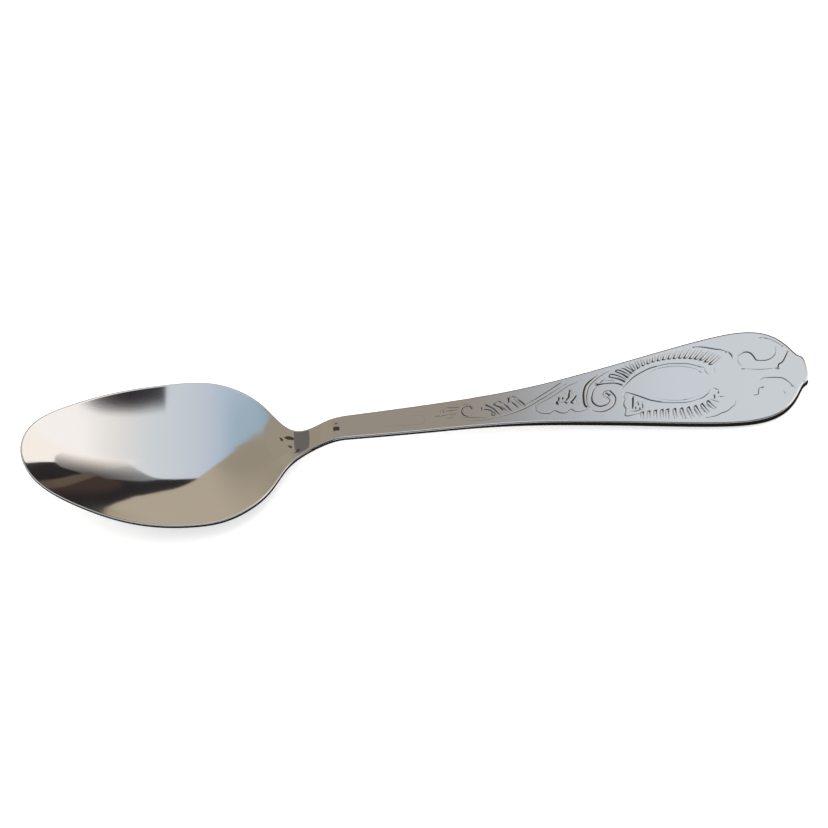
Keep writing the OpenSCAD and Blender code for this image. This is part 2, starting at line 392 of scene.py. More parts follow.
# %% S-shaped stem and ribbed leaf
cut(0.24, [(84, -1.85), (85.5, -1.65), (87, -1.35), (88.5, -0.95), (90, -0.35), (91, 0.1), (92, 0.7),
           (93, 1.15), (94, 1.75), (95, 2.3), (96, 2.9), (96.9, 3.4)], 0.1)
cut(0.24, [(89.3, 0.15), (90.3, 0.55), (91.2, 1), (92, 1.45), (93, 2), (94, 2.55), (95, 3.15),
           (96.1, 3.8)], 0.11, (0.5, 1))
cut(0.2, [(78.1, -1), (80, -1.25), (82.4, -1.6)], 0.06)
cut(0.2, [(78.2, -1.7), (80.5, -1.95), (82.5, -2.05), (84, -1.85)], 0.05)
cut(0.27, [(82.7, 0.95), (83.2, 0.55), (83.7, 0.1), (84.1, -0.5), (84.4, -1),
           (84.75, -1.35)], 0.11, (1.2, 0.5))
cut(0.24, [(82.25, 0.2), (82.9, 0), (83.4, -0.5), (83.85, -1), (83.6, -1.4),
           (83.2, -1.05)], 0.1, (1.3, 1.1))
cut(0.32, [(84.1, 0.85), (84.5, 0.5), (84.85, 0.3), (85.25, -0.4)], 0.13, (0.7, 1))
cut(0.24, [(84.2, 1.4), (84.8, 1.6), (85.1, 1.35), (85.4, 1)], 0.08)
cut(0.22, [(85, 0.6), (85.4, 0), (85.7, -0.35), (86.1, -0.95)], 0.08)
cut(0.28, [(85.6, 0.9), (86.1, 0.3), (86.5, -0.4), (86.85, -0.85)], 0.12)
cut(0.28, [(87, 1.15), (87.5, 0.5), (88.1, -0.35)], 0.12)
cut(0.2, [(87.5, 1.6), (88.1, 0.9), (88.6, 0.1), (88.75, -0.2)], 0.07)
cut(0.28, [(88.2, 1.5), (88.7, 0.9), (89.3, 0.1)], 0.12, (0.6, 1))
cut(0.26, [(87, 2.4), (87.6, 2.15), (88.2, 1.7)], 0.06)
punch(0.34, 86.55, 1.45)
punch(0.26, 81.6, 0.4)
print("lines with stem and leaf:", len(cuts))

# %% Ring, cross lines and the panel outline along the shank
RING_X = 79.1
RING_Y = 0.3
RING_R = 1.08
RING_FROM = 0.45
RING_TO = 2 * math.pi - 0.6
RING_POINTS = 15
ring_turn = np.linspace(RING_FROM, RING_TO, RING_POINTS)
ring = np.column_stack([RING_X + RING_R * np.cos(ring_turn), RING_Y + RING_R * np.sin(ring_turn)])
cut(0.28, ring, 0.11)
cut(0.26, [(79.65, 1.5), (79.72, 1), (79.95, 0.55)], 0.1)
cut(0.16, [(78.5, 1.75), (79.5, 1.7)], 0.05)
cut(0.22, [(73.3, 0), (75.2, -0.05)], 0.07)
cut(0.18, [(74.3, 1.3), (74.25, 0.5)], 0.05)
cut(0.26, [(74.8, 1.1), (74.8, 0.55)], 0.09)
cut(0.2, [(75.3, 0.85), (77, 0.85)], 0.06)
cut(0.18, [(75.2, 0), (76.8, 0), (77.3, 0.4)], 0.05)
cut(0.2, [(75.1, -0.7), (76.6, -0.75)], 0.05)
cut(0.22, [(75.6, 1.55), (76.6, 1.45), (77.6, 1.35)], 0.08)
cut(0.2, [(61, -0.75), (64, -0.95), (67.5, -1.2), (70.2, -1.3), (71.1, -1.05), (71.35, -0.5),
          (71.3, 0.1), (70.7, 0.55), (69, 0.65), (66.5, 0.75)], 0.035, (0.3, 0.5))
print("lines with ring and panel:", len(cuts))

# %% Volutes at the end of the handle
cut(0.3, [(128.6, 4.85), (129.1, 5.1), (129.6, 5.25), (130.2, 5.1), (130.6, 4.75), (130.85, 4.3),
          (131.05, 3.8), (131.25, 3.25), (131.6, 3.08)], 0.11, (0.4, 0.8))
cut(0.22, [(131.5, 3.1), (132.2, 2.95), (133, 2.9), (133.7, 3.05), (134.3, 3.45), (134.8, 4),
           (135.05, 4.7), (135.1, 5.4)], 0.08, (0.9, 0.4))
cut(0.32, [(134.85, 1.05), (135.1, 1.65), (135.6, 1.9), (136, 2.3), (136.5, 3.1),
           (137, 4)], 0.13, (1, 0.8))
cut(0.22, [(131.3, -1.2), (131.9, -0.9), (133, -0.95), (134.1, -1.1), (135.2, -1.4), (135.9, -2),
           (136.5, -2.8), (136.95, -3.6)], 0.07)
cut(0.24, [(129.9, -4.3), (130.5, -4.2), (130.65, -3.6), (130.8, -3), (131.3, -2.85)], 0.08)
cut(0.2, [(135.1, -4.3), (135.3, -4.9)], 0.05)
cut(0.18, [(128.2, 4.3), (128.1, 3.3), (128.5, 2.3)], 0.04)
cut(0.16, [(133, 8), (134, 7.6), (135.4, 6.55), (136.3, 5.6)], 0.04)
cut(0.14, [(128.6, 1.75), (131, 1.2), (133.2, 0.95), (134.8, 0.95)], 0.035)
print("lines with the volutes, all drawn by hand:", len(cuts))

# %% [markdown]
# ## The finish: polished stainless steel
#
# Stainless cutlery steel is a neutral, slightly warm metal. A polishing wheel leaves it close to a
# mirror, with faint lines along its path and a slow waviness from the press. The wheel can't reach
# the bottom of the struck lines, so these stay duller and hold a little dark polishing paste. Their
# dark colour is also painted shade, which stands in for the shade that falls into the grooves. A
# mirror shows mostly what stands round it, so the material itself stays simple: an attribute with
# the depth of the strike drives the paste and its painted shade, and noise drives the wear.

# %% Polished stainless steel
# Sizes in mm: width of a polishing mark, length of a wave and of a smudge, and heights of the first two
POLISH_LINE = 0.3
WAVE = 9.0
SMUDGE = 14.0
LINE_HEIGHT = 0.0008
WAVE_HEIGHT = 0.012
# Width of a polishing mark as a share of its length
LINE_SQUEEZE = 0.04
# Strike in mm, and level of the noise, at which the paste with its painted shade and the smudges
# begin and at which they are full
PASTE_SHADE_FROM = 0.006
PASTE_SHADE_FULL = 0.045
SMUDGE_FROM = 0.35
SMUDGE_FULL = 0.75
# Roughness of clean and of smudged metal, and what paste adds
CLEAN = 0.06
SMUDGED = 0.11
PASTE = 0.3


def polished_steel():
    steel = bpy.data.materials.new("polished_stainless_steel")
    steel.use_nodes = True
    tree = steel.node_tree
    shader = tree.nodes["Principled BSDF"]
    place = add(tree, "ShaderNodeTexCoord").outputs["Object"]
    depth = add(tree, "ShaderNodeAttribute", attribute_name="struck").outputs["Fac"]
    # The struck lines darken with depth: partly polishing paste, partly painted shade in the grooves
    paste_and_shade_range = {"Value": depth, "From Min": PASTE_SHADE_FROM, "From Max": PASTE_SHADE_FULL}
    paste_and_shade = add(tree, "ShaderNodeMapRange", paste_and_shade_range).outputs[0]
    # Drawn coarser than real polishing marks, which are too fine to show here
    along = add(tree, "ShaderNodeMapping", {"Vector": place, "Scale": (LINE_SQUEEZE, 1, 1)}).outputs[0]
    marks = add(
        tree, "ShaderNodeTexNoise", {"Vector": along, "Scale": 1 / (POLISH_LINE * MM), "Detail": 3.0}
    ).outputs["Fac"]
    smudge = add(
        tree, "ShaderNodeTexNoise", {"Vector": place, "Scale": 1 / (SMUDGE * MM), "Detail": 4.0}
    ).outputs["Fac"]
    wave = add(
        tree, "ShaderNodeTexNoise", {"Vector": place, "Scale": 1 / (WAVE * MM), "Detail": 1.0}
    ).outputs["Fac"]
    dull_range = {
        "Value": smudge,
        "From Min": SMUDGE_FROM,
        "From Max": SMUDGE_FULL,
        "To Min": CLEAN,
        "To Max": SMUDGED,
    }
    dull = add(tree, "ShaderNodeMapRange", dull_range).outputs[0]
    rough = add(tree, MATH, {0: paste_and_shade, 1: PASTE, 2: dull}, operation="MULTIPLY_ADD").outputs[0]
    # Warm grey of the metal, and the near black of polishing paste, which is also painted shade in the
    # grooves
    colours = {0: paste_and_shade, 6: linear("#CFCCC7"), 7: linear("#454345")}
    blend = add(tree, "ShaderNodeMix", colours, data_type="RGBA").outputs[2]
    waves = {"Height": wave, "Strength": 1.0, "Distance": WAVE_HEIGHT * MM}
    ripple = add(tree, "ShaderNodeBump", waves).outputs[0]
    scratches = {"Height": marks, "Strength": 1.0, "Distance": LINE_HEIGHT * MM, "Normal": ripple}
    grain = add(tree, "ShaderNodeBump", scratches).outputs[0]
    shader.inputs["Metallic"].default_value = 1.0
    tree.links.new(blend, shader.inputs["Base Color"])
    tree.links.new(rough, shader.inputs["Roughness"])
    tree.links.new(grain, shader.inputs["Normal"])
    return steel


steel = polished_steel()
print("material:", steel.name)

# %% [markdown]
# ## The fans: one flute, repeated between two guide lines
#
# Each fan is a row of equal flutes that start at the medallion and run out to the edge. Drawing
# them one by one would never be even. Instead one flute is drawn in a unit square, as a U whose
# closed end is a deep pit, and a Geometry Nodes tree sets copies of it along an inner guide line,
# each turned and stretched to reach the same place on an outer guide line. Lengths, lean and
# spacing then follow the two guides, and the number of flutes is an input of the tree.

# %% A mesh of drawn lines, and a plain mesh from a finished tree
def drawn(name, lines, origin=LENGTH / 2, unit=MM):
    """Lines as a mesh of edges, with the half width and the depth of the groove on each vertex."""
    mesh = bpy.data.meshes.new(name)
    first = np.cumsum([0] + [len(p) for p, _, _ in lines])
    edges = [(f + i, f + i + 1) for f, (p, _, _) in zip(first, lines) for i in range(len(p) - 1)]
    mesh.from_pydata([((x - origin) * unit, y * unit, 0) for p, _, _ in lines for x, y in p], edges, [])
    for which, title in ((1, "half_width"), (2, "depth")):
        values = np.concatenate([line[which] for line in lines]) * MM
        mesh.attributes.new(title, "FLOAT", "POINT").data.foreach_set("value", values.astype(np.float32))
    made = bpy.data.objects.new(name, mesh)
    bpy.context.scene.collection.objects.link(made)
    return made


def new_tree(name, sockets):
    """An empty tree with a geometry input and output, and the named inputs."""
    tree = bpy.data.node_groups.new(name, "GeometryNodeTree")
    tree.interface.new_socket("Geometry", in_out="INPUT", socket_type="NodeSocketGeometry")
    for title, kind in sockets.items():
        tree.interface.new_socket(title, in_out="INPUT", socket_type="NodeSocket" + kind)
    tree.interface.new_socket("Geometry", in_out="OUTPUT", socket_type="NodeSocketGeometry")
    return tree, add(tree, "NodeGroupInput").outputs


def close_tree(tree, geometry, material):
    """Realize the instances, set the material and end the tree."""
    real = add(tree, "GeometryNodeRealizeInstances", {"Geometry": geometry})
    done = add(tree, "GeometryNodeSetMaterial", {"Geometry": real.outputs[0], "Material": material})
    add(tree, "NodeGroupOutput", {0: done.outputs[0]})


def shaped(made, tree, values):
    """The plain mesh that the tree makes of the object with these input values."""
    modifier = made.modifiers.new(tree.name, "NODES")
    modifier.node_group = tree
    for socket in tree.interface.items_tree:
        if socket.in_out == "INPUT" and socket.name in values:
            modifier[socket.identifier] = values[socket.name]
    bpy.context.view_layer.update()
    mesh = bpy.data.meshes.new_from_object(made.evaluated_get(bpy.context.evaluated_depsgraph_get()))
    made.modifiers.remove(modifier)
    return mesh


def numbers(data, name, size):
    """One property of a mesh's elements as an array."""
    values = np.zeros(len(data) * size, np.int32 if name == "vertices" else np.float32)
    data.foreach_get(name, values)
    return values.reshape(-1, size) if size > 1 else values


# %% The tree that sets flutes between two lines
def smooth_curve(tree, line):
    """The curve through a mesh of edges that passes smoothly through its vertices."""
    curve = add(tree, "GeometryNodeMeshToCurve", {"Mesh": line}).outputs[0]
    return add(tree, "GeometryNodeCurveSplineType", {"Curve": curve}, spline_type="CATMULL_ROM").outputs[0]


def flute_tree():
    sockets = {
        "Outer line": "Object",
        "Flute": "Object",
        "Count": "Int",
        "Flute width": "Float",
        "Steel": "Material",
    }
    tree, given = new_tree("flutes between two lines", sockets)

    def evenly(line):
        spaced = {"Curve": smooth_curve(tree, line), "Count": given["Count"]}
        return add(tree, "GeometryNodeResampleCurve", spaced).outputs[0]

    inner = evenly(given["Geometry"])
    outer_line = add(tree, "GeometryNodeObjectInfo", {"Object": given["Outer line"]}).outputs["Geometry"]
    outer = evenly(outer_line)
    here = add(tree, "GeometryNodeInputPosition").outputs[0]
    index = add(tree, "GeometryNodeInputIndex").outputs[0]
    same = {"Geometry": outer, "Value": here, "Index": index}
    there = add(tree, "GeometryNodeSampleIndex", same, data_type="FLOAT_VECTOR").outputs[0]
    way = add(tree, "ShaderNodeVectorMath", {0: there, 1: here}, operation="SUBTRACT").outputs[0]
    length = add(tree, "ShaderNodeVectorMath", {0: way}, operation="LENGTH").outputs["Value"]
    size = add(tree, "ShaderNodeCombineXYZ", {"X": given["Flute width"], "Y": length, "Z": 1.0}).outputs[0]
    aim = add(
        tree,
        "FunctionNodeAxesToRotation",
        {"Primary Axis": (0, 0, 1), "Secondary Axis": way},
        primary_axis="Z",
        secondary_axis="Y",
    ).outputs[0]
    flute = add(tree, "GeometryNodeObjectInfo", {"Object": given["Flute"]}).outputs["Geometry"]
    placed = {"Points": inner, "Instance": flute, "Rotation": aim, "Scale": size}
    copies = add(tree, "GeometryNodeInstanceOnPoints", placed).outputs[0]
    close_tree(tree, copies, given["Steel"])
    return tree


fluting = flute_tree()
print("nodes in the tree of the flutes:", len(fluting.nodes))

# %% Two fans of flutes
FLUTE_WIDTH = 0.5
# The two sides of the U: places in the unit square, and half widths and depths of the groove in mm
unit_flute = [
    (
        np.array([(-0.5, 0), (-0.5, 0.25), (-0.5, 0.6), (-0.45, 1)]),
        np.array([0.22, 0.15, 0.1, 0.07]),
        np.array([0.17, 0.13, 0.08, 0.05]),
    ),
    (
        np.array([(-0.35, 0.02), (0.3, 0.06), (0.5, 0.25), (0.5, 0.6), (0.5, 1)]),
        np.array([0.16, 0.13, 0.1, 0.09, 0.07]),
        np.array([0.13, 0.1, 0.08, 0.07, 0.04]),
    ),
]
upper_inner = [
    (109.6, 4.4), (110.7, 4.95), (111.5, 5.25), (112.4, 5.5), (113.4, 5.75), (114.8, 5.85), (116.5, 5.85),
    (118.5, 5.65), (119.5, 5.4), (120.6, 5.1), (121.6, 4.7), (122.3, 4.2), (123.05, 3.5),
]
upper_outer = [
    (109.1, 5.75), (110.1, 6.15), (111.3, 6.4), (112.3, 6.6), (113.5, 6.85), (114.9, 7.05), (116.7, 7.25),
    (119, 7.45), (120.2, 7.25), (121.3, 6.85), (122.6, 6.45), (124, 6), (125, 5.1),
]
left_inner = [(109.65, -4.75), (111, -4.7), (112.4, -4.75), (113.1, -4.8)]
left_outer = [(109.45, -5.85), (110.8, -6), (112.2, -6.2), (113, -6.3)]
lower_inner = [
    (114.1, -4.85), (115.4, -4.95), (117.2, -5.05), (119, -4.95), (120.15, -4.75), (121.3, -4.3),
]
lower_outer = [
    (113.9, -6.6), (115.3, -6.85), (117.2, -7.1), (119.4, -7.2), (121, -6.9), (122.4, -6),
]
# Guides and number of flutes: the upper fan, and the lower one in two stretches
fan_guides = [
    (upper_inner, upper_outer, 16),
    (left_inner, left_outer, 4),
    (lower_inner, lower_outer, 7),
]


def guide(name, points):
    p = np.array(points, float)
    return drawn(name, [(p, np.zeros(len(p)), np.zeros(len(p)))])


flute = drawn("flute", unit_flute, origin=0, unit=1)
inputs = {"Flute": flute, "Flute width": FLUTE_WIDTH * MM, "Steel": steel}
fans = []
for inner_points, outer_points, count in fan_guides:
    inner = guide("inner_guide", inner_points)
    outer = guide("outer_guide", outer_points)
    fans.append(shaped(inner, fluting, inputs | {"Outer line": outer, "Count": count}))
    bpy.data.objects.remove(inner)
    bpy.data.objects.remove(outer)
bpy.data.objects.remove(flute)
print("vertices of the fans:", [len(fan.vertices) for fan in fans])

# %% [markdown]
# ## All the lines, smoothed
#
# Straight hops between hand-drawn points would show in the polished metal. More points would hide
# them, but they would be dull to draw. So a second tree turns every line into a smooth curve that
# goes through the drawn points, and cuts it into equal short steps. The widths and depths travel
# along as attributes. The result is a mesh of fine edges that lies flat in the plane of the blank.

# %% Smooth the lines
LINE_STEP = 0.11


def smoothing_tree():
    tree, given = new_tree("smooth lines", {"Step": "Float", "Steel": "Material"})
    stepped = {"Curve": smooth_curve(tree, given["Geometry"]), "Length": given["Step"]}
    even = add(tree, "GeometryNodeResampleCurve", stepped, mode="LENGTH").outputs[0]
    edges = add(tree, "GeometryNodeCurveToMesh", {"Curve": even}).outputs[0]
    close_tree(tree, edges, given["Steel"])
    return tree


lines = drawn("lines", cuts)
for fan in fans:
    holder = bpy.data.objects.new("fan", fan)
    bpy.context.scene.collection.objects.link(holder)
    with bpy.context.temp_override(active_object=lines, selected_editable_objects=[lines, holder]):
        bpy.ops.object.join()
lines.data = shaped(lines, smoothing_tree(), {"Step": LINE_STEP * MM, "Steel": steel})
line_places = numbers(lines.data.vertices, "co", 3)[:, :2] / MM + (LENGTH / 2, 0)
line_edges = numbers(lines.data.edges, "vertices", 2)
line_half = numbers(lines.data.attributes["half_width"].data, "value", 1) / MM
print("line steps:", len(line_places), "length in mm:", round(len(line_edges) * LINE_STEP))

# %% [markdown]
# ## The flat blank
#
# The blank is a plate with a rounded edge. Its edge is a stack of rings, each the outline moved in
# and down by a little. An even grid could fill its two faces, but its cells would cut across the
# pattern. So free points are joined into triangles, and they can lie where they are needed: a close
# lattice over the bowl, a wide one over the flat handle, and rows of points along both sides of
# every line, so that the grooves come out crisp and the flats between them stay flat. Each vertex
# keeps three numbers for the press: the height of the edge, the share of the bowl's hollow and its
# share of the way from the axis to the edge.

# %% Rings of the rounded edge
SIDE_POINTS = 520
ARC_STEPS = 5
FLAT_STRIP = 0.08

angle = np.linspace(0, math.pi, SIDE_POINTS)
side_w, side_slope = outline(angle)
side_w[[0, -1]] = 0
side = np.stack([LENGTH * (1 - np.cos(angle)) / 2, side_w], 1)
side_out = np.stack([-side_slope, LENGTH / 2 * np.sin(angle)], 1)
side_out /= np.linalg.norm(side_out, axis=1)[:, None]
loop = np.concatenate([side, side[-2:0:-1] * (1, -1)])
loop_out = np.concatenate([side_out, side_out[-2:0:-1] * (1, -1)])
loop_t = thick(loop[:, 0])


def quarter(radius):
    """Inset and fall of the rings of one rounded edge, from the face to the side."""
    bends = np.linspace(0, math.pi / 2, ARC_STEPS + 1)
    arc = [(radius * (1 - math.sin(a)), radius * (1 - math.cos(a))) for a in bends]
    return [(radius + FLAT_STRIP, 0 * radius)] + arc


profile = quarter(top_round(loop[:, 0]))
profile += [(inset, loop_t - fall) for inset, fall in reversed(quarter(low_round(loop[:, 0])))]
rings = [np.column_stack([loop - inset[:, None] * loop_out, -fall]) for inset, fall in profile]
around = len(loop)
print("rings:", len(rings), "points in a ring:", around)

# %% An even lattice of points
LATTICE_CLEAR = 0.4  # gap to the edge, as a share of the spacing


def away(points, others, gap):
    """The points that lie at least that gap from the others, with one gap for all or one for each."""
    found = kdtree.KDTree(len(others))
    for i, (x, y) in enumerate(others):
        found.insert((x, y, 0), i)
    found.balance()
    gaps = np.broadcast_to(gap, len(points))
    return points[[found.find((x, y, 0))[2] >= g for (x, y), g in zip(points, gaps)]]


def on_spoon(points):
    return points[np.abs(points[:, 1]) < half_width(points[:, 0])]


def lattice(x_from, x_to, spacing, rounding):
    """Points in even triangles over part of a face, clear of its rounded edge."""
    column_gap = spacing * math.sqrt(0.75)
    rows = math.ceil(BOWL_W / 2 / spacing) + 1
    x, row = np.meshgrid(np.arange(x_from, x_to, column_gap), np.arange(-rows, rows + 1))
    odd = np.rint((x - x_from) / column_gap) % 2
    y = (row + odd / 2) * spacing
    points = on_spoon(np.column_stack([x.ravel(), y.ravel()]))
    return away(points, loop, rounding(points[:, 0]) + FLAT_STRIP + LATTICE_CLEAR * spacing)


TIP_CLEAR = 0.5
HANDLE_X = 60.0
TOP_SPACING = (0.32, 0.8)  # over the bowl and over the handle
LOW_SPACING = (0.5, 1.2)


def face_lattice(spacings, rounding):
    bowl = lattice(TIP_CLEAR, HANDLE_X, spacings[0], rounding)
    handle = lattice(HANDLE_X, LENGTH, spacings[1], rounding)
    return np.concatenate([bowl, handle])


open_points = face_lattice(TOP_SPACING, top_round)
low_points = face_lattice(LOW_SPACING, low_round)
print("lattice points on the top:", len(open_points), "below:", len(low_points))

# %% Rows of points along the lines
GROOVE_ROWS = (0.3, 0.6, 0.85, 1.1, 1.5)  # shares of a line's half width
ROW_GAP = 0.04
ROW_CLEAR = 0.06
LATTICE_GAP = 0.2


def thin(points, gap):
    """Leave out each point that lies closer than the gap to an earlier one."""
    kept = {}
    for x, y in points:
        i, j = int(x // gap), int(y // gap)
        close = [kept.get((i + a, j + b)) for a in (-1, 0, 1) for b in (-1, 0, 1)]
        if all(q is None or math.hypot(q[0] - x, q[1] - y) >= gap for q in close):
            kept[i, j] = (x, y)
    return np.array(list(kept.values()))


def beside_lines():
    """Rows of points on both sides of every line, out to just past the groove."""
    ahead = np.zeros_like(line_places)
    steps_along = line_places[line_edges[:, 1]] - line_places[line_edges[:, 0]]
    np.add.at(ahead, line_edges[:, 0], steps_along)
    np.add.at(ahead, line_edges[:, 1], steps_along)
    across = ahead[:, ::-1] * (-1, 1) / np.linalg.norm(ahead, axis=1)[:, None]
    rows = [line_places]
    for share in GROOVE_ROWS:
        rows += [line_places + sign * share * line_half[:, None] * across for sign in (-1, 1)]
    points = on_spoon(thin(np.concatenate(rows), ROW_GAP))
    return away(points, loop, EDGE_R + FLAT_STRIP + ROW_CLEAR)


groove_points = beside_lines()
top_points = np.concatenate([groove_points, away(open_points, groove_points, LATTICE_GAP)])
print("points along lines:", len(groove_points), "in all on the top:", len(top_points))

# %% Fill the faces
INSIDE_ONLY = 1
WELD = 1e-7


def fill(ring_ids, ring, inner, first_id, upwards):
    """Triangles over the inside of a ring, through its own points and the inner ones."""
    points = [tuple(p) for p in np.concatenate([ring[:, :2], inner])]
    made = delaunay_2d_cdt(points, [], [list(range(len(ring)))], INSIDE_ONLY, WELD)
    all_ids = list(ring_ids) + list(range(first_id, first_id + len(inner)))
    ids = [all_ids[origin[0]] for origin in made[3]]
    places = np.array([tuple(p) for p in made[0]])
    faces = []
    for a, b, c in made[2]:
        (ux, uy), (vx, vy) = places[b] - places[a], places[c] - places[a]
        if (ux * vy > uy * vx) != upwards:
            b, c = c, b
        faces.append((ids[a], ids[b], ids[c]))
    return faces


edge_count = around * len(rings)
low_first = edge_count + len(top_points)
faces = []
for j in range(len(rings) - 1):
    for i in range(around):
        k = (i + 1) % around
        faces.append((j * around + i, j * around + k, (j + 1) * around + k, (j + 1) * around + i))
faces += fill(range(around), rings[0], top_points, edge_count, True)
faces += fill(range(edge_count - around, edge_count), rings[-1], low_points, low_first, False)
print("faces of the blank:", len(faces))

# %% Make the blank
LEAST_WIDTH = 0.01  # so that nothing is divided by zero at the two ends
top_flat = np.column_stack([top_points, np.zeros(len(top_points))])
low_flat = np.column_stack([low_points, -thick(low_points[:, 0])])
flat = np.concatenate(rings + [top_flat, low_flat])

blank = bpy.data.meshes.new("blank")
blank.from_pydata((flat - (LENGTH / 2, 0, 0)) * MM, [], faces)
x = flat[:, 0]
press_numbers = {
    "edge_height": edge_height(x) * MM,
    "hollow": hollow(x),
    "share": np.minimum(np.abs(flat[:, 1]) / np.maximum(half_width(x), LEAST_WIDTH), 1),
}
for title, values in press_numbers.items():
    blank.attributes.new(title, "FLOAT", "POINT").data.foreach_set("value", values.astype(np.float32))
spoon = bpy.data.objects.new("polished_spoon", blank)
bpy.context.scene.collection.objects.link(spoon)
print("blank:", len(blank.vertices), "vertices,", len(blank.polygons), "faces")

# %% [markdown]
# ## Press and strike
#
# One tree does both jobs of the press. A bump in the material would be quicker, but the mesh itself
# would have no pattern. So for every vertex of the blank the tree finds the nearest line and lowers
# the vertex by the line's depth, with a soft shoulder at the line's half width. It then lifts the
# vertex to the edge line, sinks it into the bowl's hollow and stops it at the table, which leaves the
# flat under the bowl. The depth of the strike is kept as an attribute for the polishing paste and the
# painted shade in the grooves. The mesh is plain afterwards: the modifier is gone, and the piece can
# ride on the frame.

# %% The tree of the press
def press_tree():
    sockets = {
        "Lines": "Object",
        "Bowl depth": "Float",
        "Flank": "Float",
        "Strike": "Float",
        "Steel": "Material",
    }
    tree, given = new_tree("press and strike", sockets)
    own = {
        title: add(tree, "GeometryNodeInputNamedAttribute", {"Name": title}, data_type="FLOAT").outputs[0]
        for title in ("half_width", "depth", "edge_height", "hollow", "share")
    }
    struck = add(tree, "GeometryNodeObjectInfo", {"Object": given["Lines"]}).outputs["Geometry"]
    near = add(tree, "GeometryNodeProximity", {"Geometry": struck}, target_element="EDGES").outputs
    nearest = add(tree, "GeometryNodeSampleNearest", {"Geometry": struck}).outputs[0]
    at_line = {"Geometry": struck, "Index": nearest}
    width, depth = [
        add(tree, "GeometryNodeSampleIndex", at_line | {"Value": own[title]}).outputs[0]
        for title in ("half_width", "depth")
    ]
    slope = {"Value": near["Distance"], "From Min": 0.0, "From Max": width, "To Min": depth, "To Max": 0.0}
    groove = add(tree, "ShaderNodeMapRange", slope, interpolation_type="SMOOTHERSTEP").outputs[0]
    groove = add(tree, MATH, {0: groove, 1: given["Strike"]}, operation="MULTIPLY").outputs[0]
    in_mm = add(tree, MATH, {0: groove, 1: MM}, operation="DIVIDE").outputs[0]
    marked = add(
        tree,
        "GeometryNodeStoreNamedAttribute",
        {"Geometry": given["Geometry"], "Name": "struck", "Value": in_mm},
        data_type="FLOAT",
        domain="POINT",
    ).outputs[0]
    square = add(tree, MATH, {0: own["share"], 1: 2.0}, operation="POWER").outputs[0]
    parabola = add(tree, MATH, {0: 1.0, 1: square}, operation="SUBTRACT").outputs[0]
    less = add(tree, MATH, {0: square, 1: given["Flank"]}, operation="MULTIPLY").outputs[0]
    flank = add(tree, MATH, {0: 1.0, 1: less}, operation="SUBTRACT").outputs[0]
    dish = add(tree, MATH, {0: parabola, 1: flank}, operation="MULTIPLY").outputs[0]
    deep = add(tree, MATH, {0: own["hollow"], 1: given["Bowl depth"]}, operation="MULTIPLY").outputs[0]
    dish = add(tree, MATH, {0: dish, 1: deep}, operation="MULTIPLY").outputs[0]
    lift = add(tree, MATH, {0: own["edge_height"], 1: dish}, operation="SUBTRACT").outputs[0]
    lift = add(tree, MATH, {0: lift, 1: groove}, operation="SUBTRACT").outputs[0]
    flat_place = add(tree, "GeometryNodeInputPosition").outputs[0]
    here = add(tree, "ShaderNodeSeparateXYZ", {0: flat_place}).outputs
    lifted = add(tree, MATH, {0: here[2], 1: lift}, operation="ADD").outputs[0]
    height = add(tree, MATH, {0: lifted, 1: 0.0}, operation="MAXIMUM").outputs[0]
    place = add(tree, "ShaderNodeCombineXYZ", {"X": here[0], "Y": here[1], "Z": height}).outputs[0]
    pressed = add(tree, "GeometryNodeSetPosition", {"Geometry": marked, "Position": place}).outputs[0]
    close_tree(tree, pressed, given["Steel"])
    return tree


pressing = press_tree()
print("nodes in the tree of the press:", len(pressing.nodes))

# %% Press the spoon
STRIKE = 0.5  # share of the drawn depths to which the press strikes
inputs = {"Lines": lines, "Bowl depth": BOWL_DEPTH * MM, "Flank": FLANK, "Strike": STRIKE, "Steel": steel}
pressed = shaped(spoon, pressing, inputs)
for title in press_numbers:
    pressed.attributes.remove(pressed.attributes[title])
pressed.polygons.foreach_set("use_smooth", [True] * len(pressed.polygons))
spoon.data = pressed
bpy.data.objects.remove(lines)
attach(spoon, "root")
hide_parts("spoon")
strike = numbers(pressed.attributes["struck"].data, "value", 1)
print("deepest strike in mm:", round(float(strike.max()), 3))

# %% [markdown]
# ## Table and light
#
# The spoon lies on white paper under one large soft box. The paper has to look white without more
# light on the spoon, so it glows a little, but only for rays that see it as a background: from the
# camera, from a mirror or through glass. Its diffuse part still takes the spoon's shadow. The world
# does the same: it is white to look at and dimmer as a light.

# %% White paper and white world
scene = bpy.context.scene
scene.view_settings.view_transform = "Standard"
FLOOR = 3000.0
PAPER_ROUGH = 0.9
PAPER_GLOW = 0.6
WORLD_LIGHT = 0.55
WORLD_SEEN = 1.0


def rectangle(left, right, near, far):
    return [(left, near), (right, near), (right, far), (left, far)]


def lying(z, outline_xy):
    """Corners of a level card at height z."""
    return [(x, y, z) for x, y in outline_xy]


def plain_mesh(name, corners, material):
    """A flat stage piece through corners in mm."""
    mesh = bpy.data.meshes.new(name)
    places = [tuple(c * MM for c in corner) for corner in corners]
    mesh.from_pydata(places, [], [list(range(len(places)))])
    mesh.materials.append(material)
    made = bpy.data.objects.new(name, mesh)
    scene.collection.objects.link(made)
    return made


def background_ray(tree):
    """1 for the rays that see the background: from the camera, a mirror or glass."""
    path = add(tree, "ShaderNodeLightPath").outputs
    seen = {0: path["Is Camera Ray"], 1: path["Is Glossy Ray"]}
    first = add(tree, MATH, seen, operation="MAXIMUM").outputs[0]
    both = {0: first, 1: path["Is Transmission Ray"]}
    return add(tree, MATH, both, operation="MAXIMUM").outputs[0]


